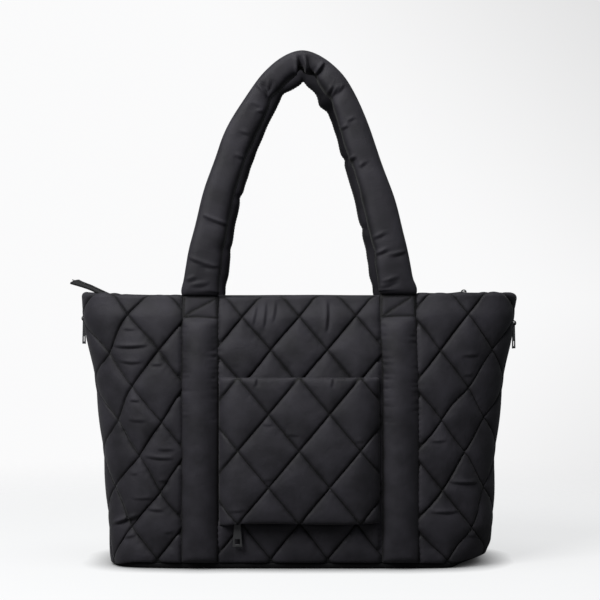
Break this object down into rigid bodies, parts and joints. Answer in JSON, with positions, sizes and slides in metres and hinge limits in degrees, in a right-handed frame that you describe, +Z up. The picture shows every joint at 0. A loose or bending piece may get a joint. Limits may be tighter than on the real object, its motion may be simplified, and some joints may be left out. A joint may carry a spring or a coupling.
{
  "type": "quilted tote bag",
  "caption": "Padded, diamond-quilted tote bag with tubular handles on sewn bands, a quilted front pocket with a zip under its hem, zips down the sides and a zipped top.",
  "frame": {"origin": "the middle of the base's underside, on the ground", "axes": "+X to the right seen from the front, +Y from the front to the back, +Z up"},
  "size_m": [0.4736, 0.1877, 0.5354],
  "materials": {
    "quilted_nylon": "quilted black nylon with a low sheen",
    "smooth_nylon": "smooth black nylon with a low sheen",
    "base_cloth": "plain matt black cloth",
    "zip_tape": "woven black zip tape and coil",
    "dark_metal": "satin black"
  },
  "bodies": {
    "tote": {"front_wall": "quilted_nylon", "rear_wall": "quilted_nylon", "front_pocket": "quilted_nylon", "front_band_left": "smooth_nylon", "front_band_right": "smooth_nylon", "rear_band_left": "smooth_nylon", "rear_band_right": "smooth_nylon", "front_handle": "smooth_nylon", "rear_handle": "smooth_nylon", "front_top_panel": "smooth_nylon", "rear_top_panel": "smooth_nylon", "base_panel": "base_cloth", "pocket_zip": "zip_tape", "top_zip": "zip_tape", "top_zip_tail": "zip_tape", "side_zip_left": "zip_tape", "side_zip_right": "zip_tape", "top_zip_slider": "dark_metal", "pocket_slider": "dark_metal", "side_slider_left": "dark_metal", "side_slider_right": "dark_metal"},
    "pocket_pull": {"pocket_pull": "dark_metal"},
    "side_pull_left": {"side_pull_left": "dark_metal"},
    "side_pull_right": {"side_pull_right": "dark_metal"}
  },
  "joints": [
    {"name": "pocket_pull_swing", "type": "hinge", "parent": "tote", "child": "pocket_pull", "pos_m": [-0.06285, -0.08336, 0.051], "axis": [-1, 0, 0], "range_deg": [0, 45]},
    {"name": "left_pull_swing", "type": "hinge", "parent": "tote", "child": "side_pull_left", "pos_m": [-0.22888, 0, 0.2555], "axis": [-0.4067, 0.9135, 0], "range_deg": [0, 150]},
    {"name": "right_pull_swing", "type": "hinge", "parent": "tote", "child": "side_pull_right", "pos_m": [0.2281, 0, 0.2505], "axis": [-0.4067, -0.9135, 0], "range_deg": [0, 150]}
  ]
}
